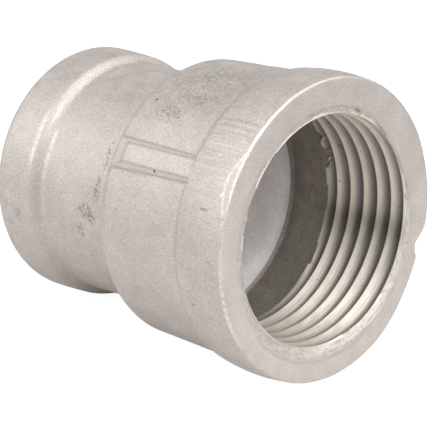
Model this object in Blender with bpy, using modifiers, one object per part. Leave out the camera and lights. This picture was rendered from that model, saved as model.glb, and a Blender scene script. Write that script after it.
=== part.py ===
"""Threaded reducing pipe coupling, 1 inch to 3/4 inch: one stainless steel casting.

The origin is on the axis, halfway between the two end faces. +X runs along the axis and out of the
large mouth, and +Z is up, with the coupling lying on its side. Lengths are in millimetres until MM
turns them into metres. Depths are measured from the large end face, towards the small end.
"""

import math

import bmesh
import bpy
from mathutils import Matrix, Vector

MM = 0.001
SEGMENTS = 40  # facets in a full turn, on the casting and on the thread cutters alike
MERGE = 0.00001

# Outside of the casting.
LENGTH = 46.0
BAND_RADIUS = 20.0
BAND_CROWN = 0.3
BAND_WIDTH = 7.5
BAND_REAR_RADIUS = 19.9
RIM_ROUND = 0.5
BARREL_START = 8.3
BARREL_FRONT_RADIUS = 19.35
BARREL_REAR_RADIUS = 18.95
SHOULDER_START = 21.8
SHOULDER_END = 23.9
NECK_RADIUS = 16.0
COVE_START = 37.4
COVE_END = 39.4
SMALL_BAND_FRONT_RADIUS = 16.95
SMALL_BAND_RADIUS = 17.4
SMALL_ROUND = 1.2

# Inside of the casting. The thread crests are the walls of the two bores.
LARGE_CREST_RADIUS = 15.15
LARGE_ROOT_RADIUS = 16.6
LARGE_PITCH = 2.309
LARGE_THREAD_LENGTH = 14.6
SMALL_CREST_RADIUS = 12.1
SMALL_ROOT_RADIUS = 13.2
SMALL_PITCH = 1.814
SMALL_THREAD_LENGTH = 13.0
COUNTERSINK = 1.2
RELIEF = 0.4
CHAMBER_RADIUS = 15.95
CHAMBER_END = 20.4
SEAT_ROUND = 0.5
PASSAGE_RADIUS = 12.7
PASSAGE_START = 24.4
LIP_ROUND = 1.4

# Thread grooves: a V with a small flat at its root.
FLANK_ANGLE = math.radians(27.5)
ROOT_FLAT = 0.12
CUTTER_REACH = 0.4  # how far a thread cutter stands inside the crests
LEAD_IN_TURNS = 1.0  # how far a thread cutter starts outside its mouth

# Wrench ribs on the barrel, flush with the large band. Angles are about +X, from +Y towards +Z.
RIB_ANGLES = (math.radians(150.0), math.radians(330.0))
RIB_TOP_RADIUS = 19.9
RIB_BASE_RADIUS = 18.2
RIB_TOP_WIDTH = 2.5
RIB_DRAFT = 1.0  # sideways run of a rib's flank for each unit of its height
RIB_START = 5.0
RIB_TOP_END = 20.6
RIB_BASE_END = 22.9

# Where the casting gate was cut off the large band.
GATE_ANGLE = math.radians(-35.0)
GATE_FLAT_RADIUS = 19.1
GATE_FLAT_END = 7.9
NOTCH_ANGLE = math.radians(-17.5)
NOTCH_FLOOR_RADIUS = 18.15
NOTCH_CUTTER_RADIUS = 1.6
NOTCH_CUTTER_LENGTH = 12.0
NOTCH_TILT = math.radians(12.0)


def collection_named(name):
    collection = bpy.data.collections.new(name)
    bpy.context.scene.collection.children.link(collection)
    return collection


def object_from(bm, name, collection):
    """A new object that holds bm, with its lengths turned from millimetres into metres."""
    bmesh.ops.scale(bm, vec=(MM, MM, MM), verts=bm.verts)
    mesh = bpy.data.meshes.new(name)
    bm.to_mesh(mesh)
    bm.free()
    obj = bpy.data.objects.new(name, mesh)
    collection.objects.link(obj)
    return obj


def helper_from(bm, name, collection):
    """A closed body that only joins or cuts the casting."""
    bmesh.ops.recalc_face_normals(bm, faces=bm.faces)
    helper = object_from(bm, name, collection)
    helper.hide_render = True
    helper.display_type = "WIRE"
    return helper


def axial(depth):
    """A place along +X, from a depth below the large end face."""
    return LENGTH / 2 - depth


def about_axis(angle):
    """Turns a shape made with +Z as its radial direction to an angle about +X, counted from +Y."""
    return Matrix.Rotation(angle - math.pi / 2, 4, "X")


def quarter(start, end, leaves, steps):
    """The points after start on a quarter ellipse to end, leaving start along the axis or the radius."""
    points = []
    for step in range(1, steps + 1):
        angle = math.pi / 2 * step / steps
        towards = (math.sin(angle), 1 - math.cos(angle))
        if leaves == "radius":
            towards = towards[::-1]
        depth = start[0] + (end[0] - start[0]) * towards[0]
        radius = start[1] + (end[1] - start[1]) * towards[1]
        points.append((depth, radius))
    return points


def crowned(start, end, crown, steps):
    """The points after start on a straight run to end, swollen outwards by crown halfway along."""
    points = []
    for step in range(1, steps + 1):
        share = step / steps
        swell = crown * math.sin(math.pi * share)
        depth = start[0] + (end[0] - start[0]) * share
        radius = start[1] + (end[1] - start[1]) * share + swell
        points.append((depth, radius))
    return points


def cove(start, end, steps):
    """The points after start on an S-curve to end, level with the axis at both of its ends."""
    points = []
    for step in range(1, steps + 1):
        share = step / steps
        rise = share * share * (3 - 2 * share)
        depth = start[0] + (end[0] - start[0]) * share
        radius = start[1] + (end[1] - start[1]) * rise
        points.append((depth, radius))
    return points


def outside_outline():
    """(depth, radius) of the cast skin, from the large end face to the small end face."""
    band_front = (RIM_ROUND, BAND_RADIUS)
    band_rear = (BAND_WIDTH, BAND_REAR_RADIUS)
    shoulder = (SHOULDER_START, BARREL_REAR_RADIUS)
    neck_front = (SHOULDER_END, NECK_RADIUS)
    neck_rear = (COVE_START, NECK_RADIUS)
    small_front = (COVE_END, SMALL_BAND_FRONT_RADIUS)
    small_rear = (LENGTH - SMALL_ROUND, SMALL_BAND_RADIUS)
    outline = [(0.0, BAND_RADIUS - RIM_ROUND)]
    outline += quarter(outline[0], band_front, "radius", 3)
    outline += crowned(band_front, band_rear, BAND_CROWN, 4)
    outline += [(BARREL_START, BARREL_FRONT_RADIUS), shoulder]
    outline += quarter(shoulder, neck_front, "axis", 5)
    outline += [neck_rear]
    outline += cove(neck_rear, small_front, 3)
    outline += crowned(small_front, small_rear, BAND_CROWN / 2, 3)
    outline += quarter(small_rear, (LENGTH, SMALL_BAND_RADIUS - SMALL_ROUND), "axis", 3)
    return outline


def inside_outline():
    """(depth, radius) of the walls of the passage, from the small end face to the large end face."""
    small_thread_end = LENGTH - SMALL_THREAD_LENGTH
    lip_front = (PASSAGE_START - LIP_ROUND, PASSAGE_RADIUS + LIP_ROUND)
    seat_rear = (CHAMBER_END + SEAT_ROUND, CHAMBER_RADIUS - SEAT_ROUND)
    outline = [
        (LENGTH, SMALL_CREST_RADIUS + COUNTERSINK),
        (LENGTH - COUNTERSINK, SMALL_CREST_RADIUS),
        (small_thread_end, SMALL_CREST_RADIUS),
        (small_thread_end - RELIEF, PASSAGE_RADIUS),
        (PASSAGE_START, PASSAGE_RADIUS),
    ]
    outline += quarter(outline[-1], lip_front, "axis", 3)
    outline += [seat_rear]
    outline += quarter(seat_rear, (CHAMBER_END, CHAMBER_RADIUS), "radius", 2)
    outline += [
        (LARGE_THREAD_LENGTH + RELIEF, CHAMBER_RADIUS),
        (LARGE_THREAD_LENGTH, LARGE_CREST_RADIUS),
        (COUNTERSINK, LARGE_CREST_RADIUS),
        (0.0, LARGE_CREST_RADIUS + COUNTERSINK),
    ]
    return outline


def turned_casting(collection):
    """The casting before its ribs and threads: one closed outline, turned about the axis."""
    bm = bmesh.new()
    outline = outside_outline() + inside_outline()
    verts = [bm.verts.new((radius, 0.0, axial(depth))) for depth, radius in outline]
    for vert, after in zip(verts, verts[1:] + verts[:1]):
        bm.edges.new((vert, after))
    casting = object_from(bm, "coupling_body", collection)
    casting.rotation_euler.y = math.pi / 2
    screw = casting.modifiers.new("turned", "SCREW")
    screw.axis = "Z"
    screw.steps = SEGMENTS
    screw.render_steps = SEGMENTS
    screw.use_merge_vertices = True
    screw.merge_threshold = MERGE
    return casting


def rib(index, angle, collection):
    """One wrench rib: a bar with drafted flanks and a sloping end, buried in the band at its other end."""
    bm = bmesh.new()
    bmesh.ops.create_cube(bm, size=2.0)
    foot_width = RIB_TOP_WIDTH + 2 * RIB_DRAFT * (RIB_TOP_RADIUS - RIB_BASE_RADIUS)
    for vert in bm.verts:
        top = vert.co.z > 0
        front = vert.co.x > 0
        width = RIB_TOP_WIDTH if top else foot_width
        rear_depth = RIB_TOP_END if top else RIB_BASE_END
        vert.co.x = axial(RIB_START if front else rear_depth)
        vert.co.y *= width / 2
        vert.co.z = RIB_TOP_RADIUS if top else RIB_BASE_RADIUS
    bmesh.ops.transform(bm, matrix=about_axis(angle), verts=bm.verts)
    return helper_from(bm, f"rib_{index}", collection)


def gate_flat_cutter(collection):
    """A block that grinds a flat along the large band."""
    bm = bmesh.new()
    bmesh.ops.create_cube(bm, size=1.0)
    height = 2 * (BAND_RADIUS - GATE_FLAT_RADIUS) + 1.0
    size = Vector((GATE_FLAT_END + 1.0, BAND_RADIUS, height))
    middle = Vector((axial((GATE_FLAT_END - 1.0) / 2), 0.0, GATE_FLAT_RADIUS + height / 2))
    bmesh.ops.scale(bm, vec=size, verts=bm.verts)
    bmesh.ops.translate(bm, vec=middle, verts=bm.verts)
    bmesh.ops.transform(bm, matrix=about_axis(GATE_ANGLE), verts=bm.verts)
    return helper_from(bm, "gate_flat", collection)


def gate_notch_cutter(collection):
    """A slanting round bar that leaves a groove at the rim, running out along the large band."""
    bm = bmesh.new()
    bmesh.ops.create_cone(
        bm,
        cap_ends=True,
        segments=12,
        radius1=NOTCH_CUTTER_RADIUS,
        radius2=NOTCH_CUTTER_RADIUS,
        depth=NOTCH_CUTTER_LENGTH,
    )
    lie_along_x = Matrix.Rotation(math.pi / 2, 4, "Y")
    tilt = Matrix.Rotation(NOTCH_TILT, 4, "Y")
    raised = Vector((axial(0.0), 0.0, NOTCH_FLOOR_RADIUS + NOTCH_CUTTER_RADIUS))
    place = Matrix.Translation(raised) @ tilt @ lie_along_x
    bmesh.ops.transform(bm, matrix=about_axis(NOTCH_ANGLE) @ place, verts=bm.verts)
    return helper_from(bm, "gate_notch", collection)


def thread_cutter(name, mouth, inwards, crest, root, pitch, length, collection):
    """A right-hand helical V groove, from outside the mouth to the end of the thread.

    mouth is the end face's place along +X, and inwards is the direction into the casting from it.
    """
    inner = crest - CUTTER_REACH
    inner_half = ROOT_FLAT / 2 + (root - inner) * math.tan(FLANK_ANGLE)
    start = mouth - inwards * LEAD_IN_TURNS * pitch
    turns = (length - inner_half + LEAD_IN_TURNS * pitch) / pitch
    steps = int(turns * SEGMENTS)
    bm = bmesh.new()
    corners = (
        (start - inner_half, inner),
        (start - ROOT_FLAT / 2, root),
        (start + ROOT_FLAT / 2, root),
        (start + inner_half, inner),
    )
    bm.faces.new([bm.verts.new((x, radius, 0.0)) for x, radius in corners])
    bmesh.ops.spin(
        bm,
        geom=bm.verts[:] + bm.edges[:] + bm.faces[:],
        cent=(0.0, 0.0, 0.0),
        axis=(1.0, 0.0, 0.0),
        dvec=(inwards * pitch / SEGMENTS, 0.0, 0.0),
        angle=inwards * steps * 2 * math.pi / SEGMENTS,
        steps=steps,
    )
    # Half a facet round, so that the cutter's edges cross the bore's facets and don't lie along them.
    bmesh.ops.transform(bm, matrix=Matrix.Rotation(math.pi / SEGMENTS, 4, "X"), verts=bm.verts)
    bmesh.ops.triangulate(bm, faces=bm.faces)
    return helper_from(bm, name, collection)


def boolean(casting, operation, other):
    modifier = casting.modifiers.new(other.name, "BOOLEAN")
    modifier.operation = operation
    modifier.solver = "EXACT"
    modifier.object = other


def cast_stainless():
    """Blasted stainless steel: pale warm grey, dull and slightly rough."""
    material = bpy.data.materials.new("cast_stainless")
    material.use_nodes = True
    principled = material.node_tree.nodes["Principled BSDF"]
    principled.inputs["Base Color"].default_value = (0.60, 0.57, 0.54, 1.0)
    principled.inputs["Metallic"].default_value = 1.0
    principled.inputs["Roughness"].default_value = 0.5
    return material


def shade_round(casting):
    casting.data.shade_smooth()
    casting.data.set_sharp_from_angle(angle=math.radians(30.0))


def build():
    for obj in list(bpy.data.objects):
        bpy.data.objects.remove(obj, do_unlink=True)
    parts = collection_named("pipe_coupling")
    cutters = collection_named("cutters")
    casting = turned_casting(parts)
    casting.data.materials.append(cast_stainless())
    for index, angle in enumerate(RIB_ANGLES, start=1):
        boolean(casting, "UNION", rib(index, angle, cutters))
    boolean(casting, "DIFFERENCE", gate_flat_cutter(cutters))
    boolean(casting, "DIFFERENCE", gate_notch_cutter(cutters))
    large_thread = thread_cutter(
        "large_thread",
        axial(0.0),
        -1,
        LARGE_CREST_RADIUS,
        LARGE_ROOT_RADIUS,
        LARGE_PITCH,
        LARGE_THREAD_LENGTH,
        cutters,
    )
    small_thread = thread_cutter(
        "small_thread",
        axial(LENGTH),
        1,
        SMALL_CREST_RADIUS,
        SMALL_ROOT_RADIUS,
        SMALL_PITCH,
        SMALL_THREAD_LENGTH,
        cutters,
    )
    boolean(casting, "DIFFERENCE", large_thread)
    boolean(casting, "DIFFERENCE", small_thread)
    shade_round(casting)


build()
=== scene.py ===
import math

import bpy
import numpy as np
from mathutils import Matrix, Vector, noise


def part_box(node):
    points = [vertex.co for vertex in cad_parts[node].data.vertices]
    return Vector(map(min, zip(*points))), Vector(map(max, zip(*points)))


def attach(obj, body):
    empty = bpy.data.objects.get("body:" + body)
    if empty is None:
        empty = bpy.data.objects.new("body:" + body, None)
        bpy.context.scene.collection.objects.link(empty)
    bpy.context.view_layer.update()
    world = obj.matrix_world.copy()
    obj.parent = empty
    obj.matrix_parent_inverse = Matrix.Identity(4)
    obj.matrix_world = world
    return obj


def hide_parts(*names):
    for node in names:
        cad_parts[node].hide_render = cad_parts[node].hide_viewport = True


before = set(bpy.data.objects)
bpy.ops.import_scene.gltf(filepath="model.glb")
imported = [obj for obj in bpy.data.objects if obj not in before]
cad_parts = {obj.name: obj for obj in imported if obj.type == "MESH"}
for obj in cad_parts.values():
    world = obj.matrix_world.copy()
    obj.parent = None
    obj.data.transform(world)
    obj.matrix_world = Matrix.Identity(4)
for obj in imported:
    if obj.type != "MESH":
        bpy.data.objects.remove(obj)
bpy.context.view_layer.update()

# The looks of a cast stainless reducing coupling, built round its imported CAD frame.
#
# One closed surface stands for the CAD body: the blasted skin with its bands, shoulder, ribs and gate scar,
# and the bore with its machined threads, countersinks and as-cast chamber. Every point of it has a row,
# which is a place along the closed outline, and a column, which is an angle about the axis.
# Lengths are in millimetres of the casting. Depth is measured from the large end face towards the small
# end, and angles are in degrees about the axis, from +Y towards +Z.

body_low, body_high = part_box("coupling_body")

LENGTH = 46.0
MM = (body_high.x - body_low.x) / LENGTH
AXIS_Y = (body_high.y + body_low.y) / 2
AXIS_Z = (body_high.z + body_low.z) / 2
RIM_CENTRE = Vector((body_high.x, AXIS_Y, AXIS_Z))

# Outside of the casting.
BAND_RADIUS = 20.0
BAND_CROWN = 0.27
BAND_REAR_DEPTH = 7.4
BAND_REAR_RADIUS = 19.95
BAND_EDGE_REACH = 0.35  # how far the rounding behind the band runs back, and how far it drops
BAND_EDGE_DROP = 0.3
RIM_ROUND = 0.38
BARREL_START = 8.25
BARREL_FRONT_RADIUS = 19.35
BARREL_REAR_RADIUS = 18.95
SHOULDER_START = 21.8
SHOULDER_END = 23.9
NECK_FRONT_RADIUS = 15.95
NECK_REAR_RADIUS = 16.14
COVE_START = 37.4
COVE_END = 39.3
SMALL_BAND_FRONT_RADIUS = 17.2
SMALL_BAND_RADIUS = 17.4
SMALL_ROUND = 1.2

# Wrench ribs on the barrel, flush with the large band.
RIB_ANGLES = (149.65, 329.65)
RIB_TOP_RADIUS = 19.9
RIB_TOP_WIDTH = 2.5
RIB_FLANK_FALL = 0.95  # drop of a flank for each millimetre sideways
RIB_TOP_END = 19.8
RIB_END = 22.6
RIB_END_RISE = 0.32  # height of the sloping end for each millimetre before the rib's end
RIB_SOFTNESS = 0.12
RIB_BROW_REACH = 0.25  # how far the rows crowded at the top's end stand to each side of it

# Inside of the casting. The threads are cut a little off the axis of the cast skin.
BORE_SHIFT_Y = -0.28
BORE_SHIFT_Z = -0.1
LARGE_CREST = 15.15
LARGE_ROOT = 16.3
LARGE_PITCH = 2.378
LARGE_THREAD_END = 13.5
LARGE_GROOVE_START = 0.78  # depth of a groove's centre at angle 0
LARGE_LIP = 0.5  # depth over which the mouth's edge covers the first groove
LARGE_LIP_HEIGHT = 0.2
LARGE_LIP_SLOPE = 2.0
LARGE_RUNOUT = 1.0  # how far the thread's rows carry on into the chamber
SMALL_CREST = 12.1
SMALL_ROOT = 13.2
SMALL_PITCH = 1.814
SMALL_THREAD_LENGTH = 13.0
SMALL_GROOVE_START = LENGTH - 1.0
SMALL_COUNTERSINK = 0.9
SMALL_RELIEF = 0.4
FLANK_SLOPE = math.tan(math.radians(27.5))
ROOT_SOFTNESS = 0.3
CREST_TILT = 0.24
COUNTERSINK_RADIUS = 16.34
COUNTERSINK_FALL = 2.6  # drop of the countersink for each millimetre of depth
COUNTERSINK_SHIFT_Y = -0.19
COUNTERSINK_SHIFT_Z = -0.16
CHAMBER_RADIUS = 15.95
CHAMBER_END = 20.4
PASSAGE_RADIUS = 12.7
PASSAGE_START = 25.6
SEAT_ROUND = 0.5

# The mesh.
COLUMNS = 330
COLUMN_CROWD = 2.2  # how much closer together the columns stand at a rib's flanks and at the gate scar
RIB_CROWD_WIDTH = 8.0
GATE_CROWD_ANGLE = -16.0
GATE_CROWD_WIDTH = 9.0
LARGE_ROWS_PER_PITCH = 11
SMALL_ROWS_PER_PITCH = 8
SHARP_ANGLE = 32.0

# Material slots, in the order that make_materials gives, and the marks that the materials read.
SKIN, FACE, THREAD, SINK, CHAMBER, PASSAGE = range(6)
MARKS = ("soil_and_shade", "wear", "pale", "ground", "rusty")


def smoothstep(x, start, end):
    share = np.clip((x - start) / (end - start), 0.0, 1.0)
    return share * share * (3.0 - 2.0 * share)


def soft_max(a, b, softness):
    """The larger of a and b, with the corner between them rounded."""
    return 0.5 * (a + b + np.sqrt((a - b) ** 2 + softness**2))


def soft_min(a, b, softness):
    return -soft_max(-a, -b, softness)


def turned_from(angles, centre):
    """Signed angle from centre, in degrees, in the range -180 to 180."""
    return (angles - centre + 180.0) % 360.0 - 180.0


def bell(x, width):
    return np.exp(-((x / width) ** 2))


# ---------------------------------------------------------------- rows: the outline of the casting


def line(start, end, steps):
    """The points from start up to, and without, end."""
    share = np.arange(steps)[:, None] / steps
    return np.array(start) + (np.array(end) - np.array(start)) * share


def quarter(start, end, leaves, steps):
    """Points on a quarter ellipse from start up to end, leaving start along the axis or along the radius."""
    turn = np.arange(steps) / steps * math.pi / 2
    fast, slow = np.sin(turn), 1.0 - np.cos(turn)
    along, across = (fast, slow) if leaves == "axis" else (slow, fast)
    depth = start[0] + (end[0] - start[0]) * along
    radius = start[1] + (end[1] - start[1]) * across
    return np.stack([depth, radius], axis=1)


def swell(start, end, crown, steps, crowding=1.0):
    """A run from start up to end, swollen outwards by crown. Crowding makes the first steps finer."""
    share = (np.arange(steps) / steps) ** crowding
    points = np.array(start) + (np.array(end) - np.array(start)) * share[:, None]
    points[:, 1] += crown * np.sin(np.pi * share)
    return points


def s_curve(start, end, steps):
    points = line(start, end, steps)
    points[:, 1] = start[1] + (end[1] - start[1]) * smoothstep(points[:, 0], start[0], end[0])
    return points


def skin_outline():
    """Outside, from the rim of the large end to the rim of the small end."""
    rim = (0.0, BAND_RADIUS - RIM_ROUND)
    band_front = (RIM_ROUND, BAND_RADIUS)
    band_rear = (BAND_REAR_DEPTH, BAND_REAR_RADIUS)
    step_top = (BAND_REAR_DEPTH + BAND_EDGE_REACH, BAND_REAR_RADIUS - BAND_EDGE_DROP)
    barrel_front = (BARREL_START, BARREL_FRONT_RADIUS)
    barrel_rear = (SHOULDER_START, BARREL_REAR_RADIUS)
    rib_brow = (RIB_TOP_END - RIB_BROW_REACH, BARREL_REAR_RADIUS + 0.07)
    rib_slope = (RIB_TOP_END + RIB_BROW_REACH, BARREL_REAR_RADIUS + 0.05)
    neck_front = (SHOULDER_END, NECK_FRONT_RADIUS)
    neck_rear = (COVE_START, NECK_REAR_RADIUS)
    small_front = (COVE_END, SMALL_BAND_FRONT_RADIUS)
    small_rear = (LENGTH - SMALL_ROUND, SMALL_BAND_RADIUS)
    return np.vstack([
        quarter(rim, band_front, "radius", 6),
        swell(band_front, band_rear, BAND_CROWN, 20, 1.6),
        quarter(band_rear, step_top, "axis", 4),
        quarter(step_top, barrel_front, "radius", 5),
        line(barrel_front, rib_brow, 20),
        line(rib_brow, rib_slope, 2),
        line(rib_slope, barrel_rear, 3),
        quarter(barrel_rear, neck_front, "axis", 14),
        line(neck_front, neck_rear, 20),
        s_curve(neck_rear, small_front, 10),
        swell(small_front, small_rear, 0.05, 9),
        quarter(small_rear, (LENGTH, SMALL_BAND_RADIUS - SMALL_ROUND), "axis", 7),
    ])


def row_sections():
    """(zone, points) for each stretch of the closed outline, in order. Threads start as plain walls."""
    small_mouth = (LENGTH, SMALL_BAND_RADIUS - SMALL_ROUND)
    small_edge = (LENGTH, SMALL_CREST + SMALL_COUNTERSINK)
    small_wall = (LENGTH - SMALL_COUNTERSINK, SMALL_CREST)
    small_end = (LENGTH - SMALL_THREAD_LENGTH, SMALL_CREST)
    relief = (LENGTH - SMALL_THREAD_LENGTH - SMALL_RELIEF, PASSAGE_RADIUS)
    passage = (PASSAGE_START, PASSAGE_RADIUS)
    seat = (CHAMBER_END + SEAT_ROUND, CHAMBER_RADIUS - SEAT_ROUND)
    chamber_rear = (CHAMBER_END, CHAMBER_RADIUS)
    thread_end = (LARGE_THREAD_END + LARGE_RUNOUT, CHAMBER_RADIUS)
    thread_mouth = (0.0, LARGE_CREST)
    face_edge = (0.0, COUNTERSINK_RADIUS)
    face_rim = (0.0, BAND_RADIUS - RIM_ROUND)
    small_steps = round(SMALL_THREAD_LENGTH / SMALL_PITCH * SMALL_ROWS_PER_PITCH)
    large_steps = round(thread_end[0] / LARGE_PITCH * LARGE_ROWS_PER_PITCH)
    return [
        ("skin", skin_outline()),
        ("small_face", line(small_mouth, small_edge, 5)),
        ("small_sink", line(small_edge, small_wall, 3)),
        ("small_thread", line(small_wall, small_end, small_steps)),
        ("small_thread", line(small_end, relief, 2)),
        ("passage", line(relief, passage, 6)),
        ("passage", quarter(passage, seat, "axis", 16)),
        ("chamber", quarter(seat, chamber_rear, "radius", 5)),
        ("chamber", line(chamber_rear, thread_end, 9)),
        ("large_thread", line((thread_end[0], LARGE_CREST), thread_mouth, large_steps)),
        ("large_face", line(face_edge, face_rim, len(FACE_SHARES))),
    ]


# ---------------------------------------------------------------- columns: angles about the axis


def column_angles():
    """Angles all the way round, closer together where a rib's flank or the gate scar needs it."""
    fine = np.linspace(0.0, 360.0, 7201)
    crowd = np.ones_like(fine)
    for angle in RIB_ANGLES:
        crowd += COLUMN_CROWD * bell(turned_from(fine, angle), RIB_CROWD_WIDTH)
    crowd += COLUMN_CROWD * bell(turned_from(fine, GATE_CROWD_ANGLE), GATE_CROWD_WIDTH)
    passed = np.concatenate([[0.0], np.cumsum((crowd[1:] + crowd[:-1]) / 2)])
    return np.interp(np.arange(COLUMNS) / COLUMNS, passed / passed[-1], fine)


# ---------------------------------------------------------------- shapes that vary round the casting


def noise_round(angles, per_turn, seed):
    """Smooth noise about -1 to 1 round the casting, with about per_turn waves in a full turn."""
    reach = per_turn / (2.0 * math.pi)
    turns = np.radians(angles)
    values = [noise.noise(Vector((math.cos(t) * reach, math.sin(t) * reach, seed))) for t in turns]
    return np.array(values)


def noise_over(depth, angles, size, seed):
    """Smooth noise about -1 to 1 over the skin, in lumps of about size millimetres."""
    radius = BAND_RADIUS / size
    turn = np.broadcast_to(np.radians(angles), depth.shape)
    shift = Vector((0.0, seed, 0.0))
    values = [
        noise.noise(Vector((d / size, math.cos(t) * radius, math.sin(t) * radius)) + shift)
        for d, t in zip(depth.ravel(), turn.ravel())
    ]
    return np.array(values).reshape(depth.shape)


def rib_surfaces(depth, base, angles, centre):
    """Radii of a rib's flanks, its top and its sloping end, each carried on past its own edge."""
    across = np.abs(np.radians(turned_from(angles, centre))) * RIB_TOP_RADIUS
    flank = RIB_TOP_RADIUS + (RIB_TOP_WIDTH / 2 - across) * RIB_FLANK_FALL
    end = base + (RIB_END - depth) * RIB_END_RISE
    return flank, np.full_like(base, RIB_TOP_RADIUS), end


def add_ribs(skin, angles):
    """Both ribs raised from the skin, with painted shade in their corners, dark lines along the edges of
    their tops, and painted light on their flanks and sloping ends.
    """
    depth = skin.depth
    on_barrel = (depth > BAND_REAR_DEPTH - 1.5) & (depth < SHOULDER_END)
    for centre in RIB_ANGLES:
        flank, top, end = rib_surfaces(depth, skin.radius, angles, centre)
        crown = np.minimum(top, end)
        rib = soft_min(flank, crown, RIB_SOFTNESS)
        height = rib - skin.radius
        covered = smoothstep(height, -0.25, 0.1) * on_barrel
        stands = smoothstep(height, 0.05, 0.2) * on_barrel
        beside = smoothstep(crown - flank, 0.0, 0.2)
        # Painted shade in the corner along each foot, and dark lines along the top's edges.
        foot = 0.75 * bell(height - 0.03, 0.12) * beside
        brow = bell(flank - crown, 0.1) * (end > top - 0.1)
        brow = np.maximum(brow, 0.8 * bell(end - top, 0.07) * (flank > top)) * stands
        lines = np.maximum(foot, 0.8 * brow) * on_barrel
        skin.soil_and_shade = np.maximum(skin.soil_and_shade * (1.0 - covered), lines)
        # Painted light on the flanks and the sloping end, which the lights leave darker than the top.
        sloping = smoothstep(top - end, 0.02, 0.2) * (flank > end)
        skin.pale = np.maximum(skin.pale, 0.6 * stands * np.maximum(beside, sloping))
        skin.radius = np.where(on_barrel, soft_max(skin.radius, rib, RIB_SOFTNESS), skin.radius)


# Where the casting gate was cut off: how deep the large band is ground away at each angle.
GATE_ANGLES = (-62, -56, -46, -38, -30, -24, -22.2, -20.8, -19.1, -17.4, -15.7, -12.2, -9.5, -7, 20, 30)
GATE_DEPTHS = (0, 0.08, 0.32, 0.58, 0.72, 0.74, 0.82, 1.32, 1.54, 1.70, 1.48, 0.76, 0.32, 0.2, 0.14, 0)
GATE_END = 7.6
GATE_FULL_SHARE = 0.55  # share of the scar's length over which it is at its full depth


def gate_cut(depth, angles):
    cut = np.interp(turned_from(angles, 0.0), GATE_ANGLES, GATE_DEPTHS)
    return cut * (1.0 - smoothstep(depth, GATE_FULL_SHARE * GATE_END, GATE_END))


def countersink_edge(angles):
    """The countersink's radius on the face: deepest low on the right, and gone high on the right."""
    turn = np.radians(angles)
    edge = COUNTERSINK_RADIUS + COUNTERSINK_SHIFT_Y * np.cos(turn) + COUNTERSINK_SHIFT_Z * np.sin(turn)
    edge += 0.45 * bell(turned_from(angles, -40.0), 32.0) - 1.0 * bell(turned_from(angles, 35.0), 24.0)
    ragged = 1.0 + 1.2 * arc(angles, 30.0, 110.0, 15.0)
    return edge + ragged * (0.07 * noise_round(angles, 60.0, 3.0) + 0.05 * noise_round(angles, 150.0, 5.0))


class ThreadForm:
    """A right-hand V thread with rounded roots. Its crests open a little towards the mouth."""

    def __init__(self, start, pitch, crest, root):
        self.start, self.pitch, self.crest, self.root = start, pitch, crest, root
        self.near = self.half_width(crest)
        self.far = self.near
        for _ in range(12):
            self.far = self.half_width(self.crest_radius(self.far))

    def half_width(self, radius):
        """Half the width of a groove where it has this radius."""
        reach = (self.root + ROOT_SOFTNESS - radius) * FLANK_SLOPE
        return math.sqrt(reach**2 - (ROOT_SOFTNESS * FLANK_SLOPE) ** 2)

    def crest_radius(self, past):
        """A crest's radius at a distance past the centre of the groove on its mouth side."""
        return self.crest + CREST_TILT * np.maximum(self.pitch - self.near - past, 0.0)

    def lines(self, angles, first, last):
        """Depths of every groove's edges and centre at each angle: an array of (lines, columns)."""
        turn = -self.pitch * angles / 360.0
        offsets = (-self.near, 0.0, self.far)
        centres = [self.start + self.pitch * count for count in range(first, last)]
        return np.array([centre + offset + turn for centre in centres for offset in offsets])

    def past_groove(self, depth, angles):
        """How far each point is past the centre of the nearest groove on its mouth side."""
        return (depth - self.start + self.pitch * angles / 360.0) % self.pitch

    def surface(self, depth, angles):
        past = self.past_groove(depth, angles)
        from_centre = np.minimum(past, self.pitch - past)
        rounded = np.sqrt(from_centre**2 + (ROOT_SOFTNESS * FLANK_SLOPE) ** 2)
        return np.maximum(self.crest_radius(past), self.root + ROOT_SOFTNESS - rounded / FLANK_SLOPE)

    def soil_and_shade(self, depth, angles, shade_fade):
        """Painted shade in the grooves. Past a groove's centre it fades out over the given distance."""
        past = self.past_groove(depth, angles)
        before_next = self.pitch - self.near + 0.03
        return np.where(past < before_next, 1.0 - smoothstep(past, 0.2 * self.near, shade_fade), 1.0)

    def even_groove_shade(self, depth, angles):
        """Painted shade at the bottom of the grooves, fading evenly up both flanks."""
        past = self.past_groove(depth, angles)
        from_centre = np.minimum(past, self.pitch - past)
        return 1.0 - smoothstep(from_centre, 0.1 * self.near, 0.9 * self.near)


def snapped(depth, lines, reach):
    """Rows pulled onto the nearest groove line, so that the thread's edges are crisp."""
    gap = lines[:, None, :] - depth[None, :, :]
    nearest = np.take_along_axis(gap, np.abs(gap).argmin(axis=0)[None], axis=0)[0]
    return np.where(np.abs(nearest) < reach, depth + nearest, depth)


LARGE_THREAD = ThreadForm(LARGE_GROOVE_START, LARGE_PITCH, LARGE_CREST, LARGE_ROOT)
SMALL_THREAD = ThreadForm(SMALL_GROOVE_START, SMALL_PITCH, SMALL_CREST, SMALL_ROOT)


class Section:
    """One stretch of rows: where each point is, what it is made of, how soiled, ground, scuffed or rusty it
    is, and the shade and light painted on it.

    Share is how much of the bore's shift off the axis a point follows.
    """

    def __init__(self, points, angles, slot, share):
        shape = (len(points), len(angles))
        self.depth = np.repeat(points[:, :1], len(angles), axis=1)
        self.radius = np.repeat(points[:, 1:], len(angles), axis=1)
        self.slot = np.full(shape, slot)
        self.share = np.full(shape, share)
        for mark in MARKS:
            setattr(self, mark, np.zeros(shape))


def arc(angles, start, end, fade=5.0):
    """1 between two angles, fading out beyond each over fade degrees."""
    middle, half = (start + end) / 2, (end - start) / 2
    away = np.abs(turned_from(angles, middle)) - half
    return 1.0 - smoothstep(away, 0.0, fade)


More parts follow.
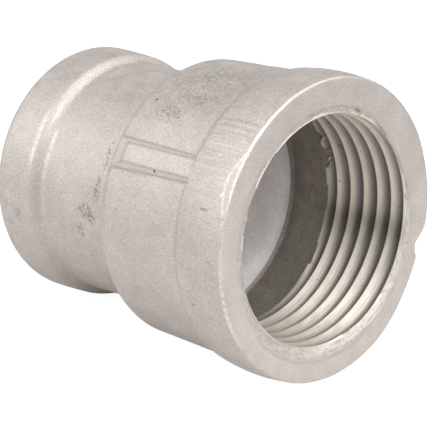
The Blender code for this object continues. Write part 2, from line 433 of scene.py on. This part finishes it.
# Bright lines along the cove in front of the small band, painted highlights along its rounded edges and one
# short bright streak across it: depth, start angle, end angle, width and strength.
COVE_HIGHLIGHTS = (
    (37.45, 148.0, 168.0, 0.14, 0.5),
    (37.45, 172.0, 204.0, 0.18, 0.2),
    (39.25, 140.0, 162.0, 0.12, 0.7),
    (38.3, 134.0, 141.0, 0.12, 0.45),
)


def cove_highlights(depth, angles):
    wander = 0.12 * noise_round(angles, 24.0, 12.0)
    wear = np.zeros_like(depth)
    for place, start, end, width, strength in COVE_HIGHLIGHTS:
        wear = np.maximum(wear, strength * arc(angles, start, end) * bell(depth - place - wander, width))
    return wear


def rim_scuff_and_highlight(depth, angles):
    """The rim's bright corner, scuffed and with a painted highlight, strongest on the lit left, where it
    splits in two.
    """
    scuff = noise_round(angles, 70.0, 1.0) * 0.1
    strength = 0.15 + 0.8 * arc(angles, 132.0, 200.0, 20.0)
    corner = strength * bell(depth - 0.12 - scuff, 0.13)
    away = 0.15 + 1.1 * bell(turned_from(angles, 152.5), 9.0)
    split = arc(angles, 142.0, 168.0, 5.0) * bell(depth - away - scuff, 0.12)
    return np.clip(np.maximum(corner, 0.85 * split), 0.0, 1.0)


# Dark lines on the skin, mostly painted shade in its creases, at the shoulder and across the cove, and one
# faint line near the rim: depth, reach along the axis, start angle, end angle and strength.
CREASE_SHADE_AND_GRIME = (
    (BARREL_START, 0.22, 0.0, 360.0, 0.5),
    (7.75, 0.5, 98.0, 146.0, 0.55),
    (SHOULDER_END, 0.4, 0.0, 360.0, 0.7),
    (COVE_START, 0.5, 0.0, 360.0, 0.15),
    (38.25, 0.55, 155.0, 190.0, 0.4),
    (1.3, 0.12, 78.0, 121.0, 0.4),
)


def skin_section(points, angles):
    skin = Section(points, angles, SKIN, 0.0)
    depth = skin.depth
    for foot, reach, start, end, strength in CREASE_SHADE_AND_GRIME:
        skin.soil_and_shade = np.maximum(skin.soil_and_shade, strength * arc(angles, start, end) * bell(depth - foot, reach))
    add_ribs(skin, angles)
    skin.radius -= gate_cut(depth, angles)
    inland = smoothstep(depth, 0.2, 1.5) * smoothstep(LENGTH - depth, 0.4, 2.0)
    skin.radius += 0.05 * noise_over(depth, angles, 9.0, 2.0) * inland
    skin.radius += 0.035 * noise_over(depth, angles, 2.6, 7.0) * inland
    skin.wear = np.maximum(rim_scuff_and_highlight(depth, angles), cove_highlights(depth, angles))
    brow = bell(turned_from(angles, 137.0), 17.0)
    skin.ground = brow * smoothstep(depth, 0.4, 1.0) * (1.0 - smoothstep(depth, 6.4, 7.6))
    skin.rusty = bell(turned_from(angles, 190.0), 14.0) * bell(depth - 5.5, 2.5)
    return skin


# Where the last turn of the large thread is torn: how much of it is missing at each angle.
TORN_ANGLES = (-100, 12, 14, 15.5, 17, 18, 22, 24, 28, 30, 34, 40, 46, 60, 80, 120, 200)
TORN_DEPTHS = (0.1, 0, 1.0, 1.0, 0.1, 1.2, 1.2, 0.1, 0.1, 1.1, 0.5, 0.5, 1.3, 1.3, 0.6, 0.2, 0.1)
TORN_REACH = 0.9  # how far the untorn turn carries on past the thread's end
TORN_SLOPE = 1.6


def large_thread_section(points, angles):
    thread = Section(points, angles, THREAD, 1.0)
    reach = 0.5 * LARGE_PITCH / LARGE_ROWS_PER_PITCH
    lines = LARGE_THREAD.lines(angles, -1, 8)
    thread.depth[1:] = np.maximum(snapped(thread.depth[1:], lines, reach), 0.0)
    depth = thread.depth
    cut = LARGE_THREAD.surface(depth, angles)
    fade = 1.0 - smoothstep(depth, LARGE_THREAD_END - 0.4, LARGE_THREAD_END + 0.6)
    cut = LARGE_CREST + (cut - LARGE_CREST) * fade
    past_lip = np.maximum(depth - LARGE_LIP, 0.0)
    cut = np.minimum(cut, LARGE_CREST + LARGE_LIP_HEIGHT + past_lip * LARGE_LIP_SLOPE)
    cone = countersink_edge(angles) - depth * COUNTERSINK_FALL
    torn = np.interp(turned_from(angles, 50.0) + 50.0, TORN_ANGLES, TORN_DEPTHS)
    ragged = 0.2 * noise_round(angles, 14.0, 4.0) + 0.07 * noise_round(angles, 60.0, 6.0) - torn
    cast = CHAMBER_RADIUS - (LARGE_THREAD_END + TORN_REACH + ragged - depth) * TORN_SLOPE
    cast = np.minimum(cast, CHAMBER_RADIUS)
    thread.radius = np.maximum(np.maximum(cut, cone), cast)
    thread.slot[cone >= np.maximum(cut, cast)] = SINK
    thread.slot[cast > np.maximum(cut, cone)] = CHAMBER
    # Painted shade in the large thread's grooves: it reaches further past each groove's centre at some
    # angles, is lighter over two arcs, and darkens towards the thread's end.
    shade_fade = 0.95 + 0.4 * arc(angles, -22.0, 60.0, 18.0)
    dark_end = (0.45 + 0.4 * arc(angles, 230.0, 305.0, 15.0)) * smoothstep(depth, 12.7, 13.5)
    soil_and_shade = np.maximum(LARGE_THREAD.soil_and_shade(depth, angles, shade_fade), dark_end)
    less_shade = 0.1 * arc(angles, -20.0, 45.0, 20.0) + 0.3 * arc(angles, 55.0, 130.0, 20.0)
    thread.soil_and_shade = soil_and_shade * (1.0 - less_shade) * smoothstep(depth, 0.45, 0.85) * (thread.slot == THREAD)
    thread.pale += arc(angles, 35.0, 120.0, 30.0)
    return thread


def small_thread_section(points, angles):
    thread = Section(points, angles, THREAD, 1.0)
    reach = 0.49 * (points[0, 0] - points[1, 0])
    lines = SMALL_THREAD.lines(angles, -9, 3)
    thread.depth[1:] = snapped(thread.depth[1:], lines, reach)
    cut = SMALL_THREAD.surface(thread.depth, angles)
    end = LENGTH - SMALL_THREAD_LENGTH
    fade = smoothstep(thread.depth, end, end + 1.0)
    thread.radius = np.maximum(thread.radius, SMALL_CREST + (cut - SMALL_CREST) * fade)
    # Painted shade in the small thread's grooves.
    thread.soil_and_shade = SMALL_THREAD.even_groove_shade(thread.depth, angles) * fade
    return thread


# The face's rows, as shares of the way out from the countersink's edge to the rim.
FACE_SHARES = (0.0, 0.05, 0.1, 0.15, 0.2, 0.28, 0.5, 0.78)


def large_face_section(points, angles):
    """The ring from the countersink's edge to the rim, which the gate scar bites into."""
    face = Section(points, angles, FACE, 0.0)
    share = np.array(FACE_SHARES)[:, None]
    edge = np.maximum(countersink_edge(angles), LARGE_CREST)
    rim = BAND_RADIUS - RIM_ROUND - gate_cut(np.zeros_like(angles), angles)
    face.share = np.repeat(1.0 - share, len(angles), axis=1)
    face.radius = edge + (rim - edge) * share
    burred = 0.35 + 0.65 * arc(angles, 15.0, 105.0, 20.0)
    face.soil_and_shade = burred * bell(share * (rim - edge), 0.3) * (0.6 + noise_round(angles, 70.0, 8.0))
    ring = 0.5 * arc(angles, 225.0, 290.0, 12.0) * bell(share * (rim - edge) - 0.5, 0.15)
    face.soil_and_shade = np.clip(np.maximum(face.soil_and_shade, ring), 0.0, 1.0)
    return face


def small_face_section(points, angles):
    face = Section(points, angles, FACE, 0.0)
    face.share = np.repeat(np.arange(len(points))[:, None] / len(points), len(angles), axis=1)
    return face


def plain_section(slot):
    def section(points, angles):
        return Section(points, angles, slot, 1.0)

    return section


SECTIONS = {
    "skin": skin_section,
    "small_face": small_face_section,
    "small_sink": plain_section(SINK),
    "small_thread": small_thread_section,
    "passage": plain_section(PASSAGE),
    "chamber": plain_section(CHAMBER),
    "large_thread": large_thread_section,
    "large_face": large_face_section,
}


def grid_faces(rows, columns):
    """Two triangles for each cell, split along the threads' own slant."""
    row, column = np.meshgrid(np.arange(rows), np.arange(columns), indexing="ij")
    after_row, after_column = (row + 1) % rows, (column + 1) % columns
    a = (row * columns + column).ravel()
    b = (row * columns + after_column).ravel()
    c = (after_row * columns + after_column).ravel()
    d = (after_row * columns + column).ravel()
    first = np.stack([a, c, b], axis=1)
    second = np.stack([a, d, c], axis=1)
    return np.stack([first, second], axis=1).reshape(-1, 3)


def add_mark(mesh, name, values):
    attribute = mesh.attributes.new(name, "FLOAT", "POINT")
    attribute.data.foreach_set("value", values.astype(np.float32).ravel())


def casting_piece(materials):
    angles = column_angles()
    sections = [SECTIONS[zone](points, angles) for zone, points in row_sections()]

    def whole(name):
        return np.vstack([getattr(section, name) for section in sections])

    depth, radius, share, slot = whole("depth"), whole("radius"), whole("share"), whole("slot")
    rows, columns = depth.shape
    turn = np.radians(angles)
    x = body_high.x - depth * MM
    y = AXIS_Y + (radius * np.cos(turn) + share * BORE_SHIFT_Y) * MM
    z = AXIS_Z + (radius * np.sin(turn) + share * BORE_SHIFT_Z) * MM
    points = np.stack([x, y, z], axis=2).reshape(-1, 3)
    mesh = bpy.data.meshes.new("cast_coupling")
    mesh.from_pydata(points.tolist(), [], grid_faces(rows, columns).tolist())
    for material in materials:
        mesh.materials.append(material)
    mesh.polygons.foreach_set("material_index", np.repeat(slot.ravel(), 2))
    for mark in MARKS:
        add_mark(mesh, mark, whole(mark))
    mesh.shade_smooth()
    mesh.set_sharp_from_angle(angle=math.radians(SHARP_ANGLE))
    mesh.update()
    piece = bpy.data.objects.new("cast_coupling", mesh)
    bpy.context.scene.collection.objects.link(piece)
    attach(piece, "root")
    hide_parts("coupling_body")


# ---------------------------------------------------------------- materials


class Graph:
    """The nodes of a material or a world. Every input may be a plain value or another node's output."""

    def __init__(self, owner):
        owner.use_nodes = True
        self.owner = owner
        self.tree = owner.node_tree
        self.shader = self.tree.nodes.get("Principled BSDF")

    def put(self, socket, value):
        if isinstance(value, bpy.types.NodeSocket):
            self.tree.links.new(value, socket)
        elif isinstance(value, tuple) and len(value) == 3 and socket.type == "RGBA":
            socket.default_value = (*value, 1.0)
        else:
            socket.default_value = value

    def node(self, kind, inputs=(), output=0, **settings):
        node = self.tree.nodes.new(kind)
        for key, value in settings.items():
            setattr(node, key, value)
        for key, value in dict(inputs).items():
            self.put(node.inputs[key], value)
        return node.outputs[output]

    def math(self, operation, *values, clamp=False):
        inputs = dict(enumerate(values))
        return self.node("ShaderNodeMath", inputs, operation=operation, use_clamp=clamp)

    def times(self, a, b):
        return self.math("MULTIPLY", a, b)

    def plus(self, a, b):
        return self.math("ADD", a, b)

    def varied(self, value, *layers):
        """The value, moved up and down by each layer: a noise about 0.5, and how far it moves the value."""
        for layer, reach in layers:
            value = self.plus(value, self.times(self.math("SUBTRACT", layer, 0.5), reach))
        return value

    def ramp(self, value, start, end):
        """0 at start and 1 at end, smoothly."""
        inputs = {"Value": value, "From Min": start, "From Max": end}
        return self.node("ShaderNodeMapRange", inputs, interpolation_type="SMOOTHSTEP")

    def attribute(self, name):
        return self.node("ShaderNodeAttribute", output="Fac", attribute_name=name)

    def noise(self, vector, scale, detail=2.0, roughness=0.5):
        inputs = {"Vector": vector, "Scale": scale, "Detail": detail, "Roughness": roughness}
        return self.node("ShaderNodeTexNoise", inputs, output="Fac")

    def cells(self, vector, scale, output="Distance"):
        inputs = {"Vector": vector, "Scale": scale}
        return self.node("ShaderNodeTexVoronoi", inputs, output=output)

    def mix(self, share, a, b):
        """Colour a where share is 0, and b where it is 1."""
        node = self.tree.nodes.new("ShaderNodeMix")
        node.data_type = "RGBA"
        self.put(node.inputs[0], share)
        self.put(node.inputs[6], a)
        self.put(node.inputs[7], b)
        return node.outputs[2]

    def shade(self, colour, amount):
        """Colour made lighter or darker: amount is what it is multiplied by."""
        node = self.tree.nodes.new("ShaderNodeVectorMath")
        node.operation = "SCALE"
        self.put(node.inputs[0], colour)
        self.put(node.inputs["Scale"], amount)
        return node.outputs[0]

    def bump(self, height, distance, normal=None, strength=1.0):
        inputs = {"Height": height, "Distance": distance, "Strength": strength}
        if normal is not None:
            inputs["Normal"] = normal
        return self.node("ShaderNodeBump", inputs)

    def finish(self, colour, roughness, normal, metallic=1.0):
        self.put(self.shader.inputs["Base Color"], colour)
        self.put(self.shader.inputs["Roughness"], roughness)
        self.put(self.shader.inputs["Metallic"], metallic)
        self.put(self.shader.inputs["Normal"], normal)
        return self.owner


class Places:
    """Coordinates on the casting: the point in millimetres, its depth, and its angle about the axis."""

    def __init__(self, graph):
        position = graph.node("ShaderNodeTexCoord", output="Object")
        shifted = graph.node("ShaderNodeVectorMath", {0: position, 1: RIM_CENTRE}, operation="SUBTRACT")
        scaled = {0: shifted, "Scale": 1.0 / MM}
        self.point = graph.node("ShaderNodeVectorMath", scaled, operation="SCALE")
        split = graph.tree.nodes.new("ShaderNodeSeparateXYZ")
        graph.put(split.inputs[0], self.point)
        self.depth = graph.times(split.outputs["X"], -1.0)
        turn = graph.math("ARCTAN2", split.outputs["Z"], split.outputs["Y"])
        self.angle = graph.math("DEGREES", turn)
        self.full_angle = graph.math("FLOORED_MODULO", self.angle, 360.0)
        self.graph = graph

    def stretched(self, along_axis, around, radius):
        """Texture coordinates scaled along the axis and round it: smaller numbers make longer marks."""
        graph = self.graph
        run = graph.times(self.angle, math.radians(radius) * around)
        inputs = {"X": graph.times(self.depth, along_axis), "Y": run}
        return graph.node("ShaderNodeCombineXYZ", inputs)

    def spot(self, depth, angle, long, wide, radius):
        """1 in the middle of an oval on the skin, and 0 outside it, long along the axis and wide round it."""
        graph = self.graph
        along = graph.math("DIVIDE", graph.math("SUBTRACT", self.depth, depth), long)
        turned = graph.times(graph.math("SUBTRACT", self.full_angle, angle), math.radians(radius) / wide)
        inside = graph.plus(graph.times(along, along), graph.times(turned, turned))
        return graph.ramp(inside, 1.0, 0.1)


SKIN_COLOUR = (0.63, 0.58, 0.545)
WORN_AND_LIT_COLOUR = (0.9, 0.87, 0.84)
SHADE_AND_DIRT_COLOUR = (0.30, 0.26, 0.235)
STAIN_COLOUR = (0.24, 0.22, 0.21)
PIT_COLOUR = (0.09, 0.08, 0.07)
SMUDGE_COLOUR = (0.2, 0.16, 0.14)
DASH_COLOUR = (0.3, 0.2, 0.13)
RUST_COLOUR = (0.42, 0.27, 0.15)
FACE_COLOUR = (0.66, 0.607, 0.572)
FACE_DIRT_COLOUR = (0.3, 0.27, 0.25)
THREAD_COLOUR = (0.96, 0.875, 0.775)
THREAD_SHADE_COLOUR = (0.08, 0.083, 0.087)
NICK_COLOUR = (0.2, 0.18, 0.16)
COUNTERSINK_COLOUR = (0.62, 0.58, 0.545)
SCRATCH_COLOUR = (0.2, 0.18, 0.165)
CHAMBER_COLOUR = (0.37, 0.34, 0.315)
PASSAGE_COLOUR = (0.77, 0.738, 0.725)


def grainy(graph, places, fine):
    """The blasted grain: (height, tint) with grains about fine millimetres across."""
    grain = graph.noise(places.point, 0.8 / fine, 2.0, 0.6)
    specks = graph.cells(places.point, 0.6 / fine)
    height = graph.plus(graph.times(grain, 0.7), graph.times(specks, 0.3))
    return height, grain


def stained(graph, places, colour):
    """The colour with its stains, which are clusters of fine dark specks."""
    specks = graph.ramp(graph.noise(places.point, 2.2, 4.0, 0.75), 0.45, 0.6)
    for depth, angle, long, wide, strength in STAINS:
        spot = places.spot(depth, angle, long, wide, BAND_RADIUS)
        colour = graph.mix(graph.times(graph.times(spot, specks), strength), colour, STAIN_COLOUR)
    return colour


def pitted(graph, places, colour):
    """The colour with its small dark pits, and how far into a pit each place is."""
    pits = 0.0
    for depth, angle, size in PITS:
        pit = places.spot(depth, angle, size, size, BAND_RADIUS)
        colour = graph.mix(graph.times(pit, 0.85), colour, PIT_COLOUR)
        pits = graph.plus(pits, pit)
    return colour, pits


def smudged(graph, places, colour):
    """The colour with its smudge, its faint dashes and its patch of rust."""
    smudge = places.spot(*SMUDGE, BAND_RADIUS)
    colour = graph.mix(graph.times(smudge, 0.5), colour, SMUDGE_COLOUR)
    for dash in DASHES:
        colour = graph.mix(graph.times(places.spot(*dash, BAND_RADIUS), 0.4), colour, DASH_COLOUR)
    rust = graph.ramp(graph.noise(places.point, 1.9, 2.0, 0.5), 0.62, 0.72)
    rusty = graph.times(rust, graph.attribute("rusty"))
    return graph.mix(graph.times(rusty, 0.5), colour, RUST_COLOUR)


def blasted_skin():
    """Cast skin after blasting: a fine grain, soft mottling, grinding marks, stains, pits and scuffs, with
    painted shade in its creases and painted light on the ribs, the rim's corner and the cove.
    """
    graph = Graph(bpy.data.materials.new("blasted_skin"))
    places = Places(graph)
    height, grain = grainy(graph, places, 0.17)
    mottle = graph.noise(places.point, 0.45, 4.0, 0.6)
    cloud = graph.noise(places.point, 0.12, 2.0, 0.5)
    light = graph.varied(1.0, (mottle, 0.3), (cloud, 0.2), (grain, 0.85))
    freckles = graph.ramp(graph.noise(places.point, 3.6, 2.0, 0.6), 0.6, 0.76)
    light = graph.math("SUBTRACT", light, graph.times(freckles, 0.12))
    colour = graph.shade(SKIN_COLOUR, light)
    # Painted light on the ribs' flanks and sloping ends.
    colour = graph.mix(graph.times(graph.attribute("pale"), 0.6), colour, WORN_AND_LIT_COLOUR)
    # A dark colour laid over painted shade in the creases and at the ribs' feet, over dark lines along the
    # ribs' tops, and over some grime.
    soil_and_shade = graph.attribute("soil_and_shade")
    shade_and_dirt = graph.times(soil_and_shade, graph.ramp(mottle, 0.2, 0.6))
    colour = graph.mix(graph.times(shade_and_dirt, 0.6), colour, SHADE_AND_DIRT_COLOUR)
    # Grinding marks along the axis, on the upper part of the band.
    marks = graph.noise(places.stretched(0.03, 2.2, BAND_RADIUS), 1.0, 3.0, 0.7)
    ground = graph.attribute("ground")
    marked = graph.times(ground, graph.math("SUBTRACT", marks, 0.5))
    colour = graph.shade(colour, graph.plus(1.0, graph.times(marked, 0.85)))
    colour = stained(graph, places, colour)
    colour, pits = pitted(graph, places, colour)
    colour = smudged(graph, places, colour)
    # Scuffs, and painted highlights along the rim's corner and the cove, lighter and smoother than the skin.
    wear = graph.attribute("wear")
    patchy = graph.ramp(graph.noise(places.point, 1.7, 3.0, 0.7), 0.3, 0.55)
    worn_and_lit = graph.times(wear, patchy)
    colour = graph.mix(graph.times(worn_and_lit, 0.9), colour, WORN_AND_LIT_COLOUR)
    rough = graph.varied(0.6, (mottle, 0.2))
    rough = graph.math("SUBTRACT", rough, graph.times(worn_and_lit, 0.25))
    relief = graph.math("SUBTRACT", height, graph.times(pits, 1.2))
    relief = graph.plus(relief, graph.times(marked, 0.6))
    dents = graph.bump(mottle, 0.12 * MM, strength=0.6)
    normal = graph.bump(relief, 0.075 * MM, dents)
    return graph.finish(colour, rough, normal)


def end_face():
    """The end faces, blasted after machining: a finer and cleaner grain than the skin."""
    graph = Graph(bpy.data.materials.new("end_face"))
    places = Places(graph)
    height, grain = grainy(graph, places, 0.15)
    mottle = graph.noise(places.point, 0.35, 4.0, 0.6)
    light = graph.varied(1.0, (mottle, 0.34), (grain, 0.9))
    colour = graph.shade(FACE_COLOUR, light)
    soil_and_shade = graph.times(graph.attribute("soil_and_shade"), graph.ramp(mottle, 0.3, 0.6))
    colour = graph.mix(graph.times(soil_and_shade, 0.75), colour, FACE_DIRT_COLOUR)
    rough = graph.varied(0.6, (mottle, 0.2))
    normal = graph.bump(height, 0.09 * MM)
    return graph.finish(colour, rough, normal)


def machined_thread():
    """Bright cut threads: turning marks round the axis throw the light widely along it."""
    graph = Graph(bpy.data.materials.new("machined_thread"))
    places = Places(graph)
    marks = graph.noise(places.stretched(9.0, 0.12, LARGE_CREST), 1.0, 3.0, 0.6)
    tears = graph.noise(places.stretched(1.6, 0.5, LARGE_CREST), 1.0, 3.0, 0.6)
    light = graph.varied(1.0, (marks, 0.22), (tears, 0.35))
    colour = graph.shade(THREAD_COLOUR, light)
    # Painted shade in the grooves, in a near-black colour.
    soil_and_shade = graph.attribute("soil_and_shade")
    colour = graph.mix(graph.times(soil_and_shade, 0.9), colour, THREAD_SHADE_COLOUR)
    # Short dark nicks where the tool tore the metal.
    nicks = graph.ramp(graph.noise(places.stretched(1.1, 0.9, LARGE_CREST), 1.0, 2.0, 0.5), 0.68, 0.74)
    colour = graph.mix(graph.times(nicks, 0.4), colour, NICK_COLOUR)
    rough = graph.varied(0.46, (tears, 0.2))
    relief = graph.plus(marks, graph.times(tears, 1.5))
    normal = graph.bump(relief, 0.02 * MM)
    tangent = graph.node("ShaderNodeTangent", output="Tangent", direction_type="RADIAL", axis="X")
    graph.put(graph.shader.inputs["Tangent"], tangent)
    graph.put(graph.shader.inputs["Anisotropic"], 0.95)
    graph.put(graph.shader.inputs["Anisotropic Rotation"], 0.25)
    metallic = graph.plus(0.85, graph.times(soil_and_shade, 0.15))
    metallic = graph.math("SUBTRACT", metallic, graph.times(graph.attribute("pale"), 0.5))
    return graph.finish(colour, rough, normal, metallic)


def countersink_face():
    """The countersinks: cut bright with fine rings round the axis, then scuffed and burred."""
    graph = Graph(bpy.data.materials.new("countersink_face"))
    places = Places(graph)
    rings = graph.noise(places.stretched(7.0, 0.2, COUNTERSINK_RADIUS), 1.0, 3.0, 0.6)
    burrs = graph.noise(places.stretched(1.8, 1.2, COUNTERSINK_RADIUS), 1.0, 3.0, 0.6)
    light = graph.varied(1.0, (rings, 0.5), (burrs, 0.6))
    colour = graph.shade(COUNTERSINK_COLOUR, light)
    # Thin dark scratches between the burrs.
    scratches = graph.noise(places.stretched(3.0, 0.45, COUNTERSINK_RADIUS), 1.0, 2.0, 0.5)
    from_scratch = graph.math("ABSOLUTE", graph.math("SUBTRACT", scratches, 0.5))
    scratched = graph.ramp(from_scratch, 0.035, 0.0)
    colour = graph.mix(graph.times(scratched, 0.4), colour, SCRATCH_COLOUR)
    rough = graph.varied(0.5, (burrs, 0.3))
    relief = graph.plus(rings, burrs)
    normal = graph.bump(relief, 0.12 * MM)
    return graph.finish(colour, rough, normal, 0.7)


def chamber_skin():
    """As-cast wall behind the thread: dark brown-grey scale with a coarse grain."""
    graph = Graph(bpy.data.materials.new("chamber_skin"))
    places = Places(graph)
    height, grain = grainy(graph, places, 0.3)
    mottle = graph.noise(places.point, 0.5, 4.0, 0.6)
    light = graph.varied(1.0, (mottle, 0.6), (grain, 0.7))
    colour = graph.shade(CHAMBER_COLOUR, light)
    normal = graph.bump(height, 0.05 * MM)
    return graph.finish(colour, 0.7, normal)


def passage_skin():
    """The funnel into the small end: smoother and lighter than the chamber."""
    graph = Graph(bpy.data.materials.new("passage_skin"))
    places = Places(graph)
    height, grain = grainy(graph, places, 0.35)
    mottle = graph.noise(places.point, 0.4, 4.0, 0.6)
    light = graph.varied(1.0, (mottle, 0.45), (grain, 0.3))
    colour = graph.shade(PASSAGE_COLOUR, light)
    normal = graph.bump(height, 0.03 * MM)
    return graph.finish(colour, 0.75, normal, 0.3)


# Dark stains on the skin: depth, angle, length along the axis, width round it, and strength.
STAINS = (
    (26.4, 149.0, 0.6, 2.0, 0.9),
    (26.3, 156.0, 0.4, 1.1, 0.75),
    (26.9, 168.0, 0.7, 2.8, 0.9),
    (29.0, 179.5, 1.7, 1.8, 0.8),
    (27.7, 183.0, 0.8, 1.3, 0.75),
    (30.1, 189.5, 0.8, 1.8, 0.85),
    (15.0, 112.0, 8.0, 9.0, 0.36),
    (15.5, 104.0, 3.0, 2.5, 0.34),
    (16.8, 130.0, 3.2, 1.8, 0.5),
    (41.6, 188.0, 1.0, 1.2, 0.5),
    (43.0, 193.0, 0.7, 1.0, 0.5),
)
# Small dark pits: depth, angle and size.
PITS = (
    (13.8, 153.9, 0.24),
    (20.5, 124.7, 0.26),
    (24.5, 116.2, 0.3),
)
# A smudge: depth, angle, length along the axis and width round it.
SMUDGE = (3.4, 162.3, 0.95, 0.24)
# Faint brown dashes: depth, angle, length along the axis and width round it.
DASHES = (
    (2.8, 203.0, 0.5, 0.16),
    (5.5, 199.0, 0.4, 0.3),
    (6.5, 184.0, 0.35, 0.2),
    (1.9, 180.0, 0.35, 0.16),
)


def make_materials():
    """The materials in the order of the slot numbers."""
    return [
        blasted_skin(),
        end_face(),
        machined_thread(),
        countersink_face(),
        chamber_skin(),
        passage_skin(),
    ]


# ---------------------------------------------------------------- floor, light and camera


FLOOR_HALF = 3.0
FLOOR_NEAR = 0.07  # metres from the coupling over which the floor stays bright, and where it has gone dim
FLOOR_FAR = 0.3
FLOOR_BRIGHT = 0.71
FLOOR_DIM = 0.06
FLOOR_GLOW = 0.93  # what the camera sees the floor give by itself, so that only contact shadows show
FLOOR_SHADE = 0.3


def floor_material():
    """Pale to the camera. To the metal, it is bright near the coupling and dim further off."""
    graph = Graph(bpy.data.materials.new("pale_floor"))
    nodes = graph.tree.nodes
    position = graph.node("ShaderNodeNewGeometry", output="Position")
    distance = graph.node("ShaderNodeVectorMath", {0: position}, output="Value", operation="LENGTH")
    near = graph.ramp(distance, FLOOR_FAR, FLOOR_NEAR)
    albedo = graph.plus(FLOOR_DIM, graph.times(near, FLOOR_BRIGHT - FLOOR_DIM))
    bounce = graph.node("ShaderNodeBsdfDiffuse", {"Color": albedo})
    glow = graph.node("ShaderNodeEmission", {"Color": (1.0, 1.0, 1.0), "Strength": FLOOR_GLOW})
    lit = graph.node("ShaderNodeBsdfDiffuse", {"Color": (FLOOR_SHADE,) * 3})
    seen = graph.node("ShaderNodeAddShader", {0: glow, 1: lit})
    camera_ray = graph.node("ShaderNodeLightPath", output="Is Camera Ray")
    surface = graph.node("ShaderNodeMixShader", {0: camera_ray, 1: bounce, 2: seen})
    graph.tree.links.new(surface, nodes["Material Output"].inputs["Surface"])
    nodes.remove(graph.shader)
    return graph.owner


def make_floor():
    """A pale floor that both bands rest on, so it slopes a little along the axis."""
    low_mouth = Vector((body_high.x - 4.0 * MM, 0.0, AXIS_Z - (BAND_RADIUS + BAND_CROWN) * MM))
    low_end = Vector((body_low.x + 2.0 * MM, 0.0, AXIS_Z - SMALL_BAND_RADIUS * MM))
    slope = math.atan2(low_mouth.z - low_end.z, low_mouth.x - low_end.x)
    mesh = bpy.data.meshes.new("floor")
    half = FLOOR_HALF
    corners = [(-half, -half, 0.0), (half, -half, 0.0), (half, half, 0.0), (-half, half, 0.0)]
    mesh.from_pydata(corners, [], [(0, 1, 2, 3)])
    mesh.materials.append(floor_material())
    floor = bpy.data.objects.new("floor", mesh)
    floor.location = (low_mouth + low_end) / 2 - Vector((0.0, 0.0, 0.1 * MM))
    floor.rotation_euler.y = -slope
    bpy.context.scene.collection.objects.link(floor)


def direction(azimuth, elevation):
    """The unit vector towards a place round the coupling. Azimuth 0 is at -Y, and 90 is at +X."""
    azimuth, elevation = math.radians(azimuth), math.radians(elevation)
    level = math.cos(elevation)
    return Vector((math.sin(azimuth) * level, -math.cos(azimuth) * level, math.sin(elevation)))


# Soft lights round the coupling: azimuth, elevation, how tight each one is, and how strong.
SOFTBOXES = (
    (325.0, 20.0, 7.0, 2.0),
    (98.0, 42.0, 6.0, 2.7),
    (100.0, 20.0, 8.0, 1.1),
    (35.0, 45.0, 4.0, 0.5),
)
AMBIENT = 0.52
DARK = 0.06  # the studio below the lights
DARK_TOP = 0.06  # heights, as sines of the elevation, between which the lights come up
LIGHT_START = 0.2
LIGHT_COLOUR = (1.0, 1.0, 1.0)


def make_world():
    """A studio of soft lights above a dark horizon. The camera sees only white behind the coupling."""
    world = bpy.data.worlds.new("studio")
    graph = Graph(world)
    ray = graph.node("ShaderNodeTexCoord", output="Generated")
    radiance = AMBIENT
    for azimuth, elevation, tightness, strength in SOFTBOXES:
        facing = {0: ray, 1: direction(azimuth, elevation)}
        aligned = graph.node("ShaderNodeVectorMath", facing, output="Value", operation="DOT_PRODUCT")
        lobe = graph.math("POWER", graph.math("MAXIMUM", aligned, 0.0), tightness)
        radiance = graph.plus(radiance, graph.times(lobe, strength))
    up = graph.node("ShaderNodeSeparateXYZ", {0: ray}, output="Z")
    radiance = graph.plus(DARK, graph.times(graph.ramp(up, DARK_TOP, LIGHT_START), radiance))
    background = graph.tree.nodes["Background"]
    graph.put(background.inputs["Color"], LIGHT_COLOUR)
    graph.put(background.inputs["Strength"], radiance)
    seen = graph.node("ShaderNodeBackground", {"Color": (1.0, 1.0, 1.0), "Strength": 1.0})
    camera_ray = graph.node("ShaderNodeLightPath", output="Is Camera Ray")
    sky = graph.node("ShaderNodeMixShader", {0: camera_ray, 1: background.outputs[0], 2: seen})
    graph.tree.links.new(sky, graph.tree.nodes["World Output"].inputs["Surface"])
    bpy.context.scene.world = world


# The camera. Its target, from the centre of the rim, and its distance are in radii of the large band.
VIEW_AZIMUTH = 44.95
VIEW_ELEVATION = 16.35
VIEW_TARGET = Vector((-0.540, -0.504, 0.0835))
VIEW_DISTANCE = 12.126
LENS = 159.62
SHIFT_X = 0.00167
SHIFT_Y = 0.00656


def make_camera():
    back = direction(VIEW_AZIMUTH, VIEW_ELEVATION)
    radius = BAND_RADIUS * MM
    data = bpy.data.cameras.new("camera")
    data.lens = LENS
    data.shift_x = SHIFT_X
    data.shift_y = SHIFT_Y
    data.clip_start = 0.01
    camera = bpy.data.objects.new("camera", data)
    camera.location = RIM_CENTRE + (VIEW_TARGET + back * VIEW_DISTANCE) * radius
    camera.rotation_mode = "QUATERNION"
    camera.rotation_quaternion = (-back).to_track_quat("-Z", "Y")
    bpy.context.scene.collection.objects.link(camera)
    bpy.context.scene.camera = camera


bpy.context.scene.view_settings.view_transform = "Standard"
casting_piece(make_materials())
make_floor()
make_world()
make_camera()
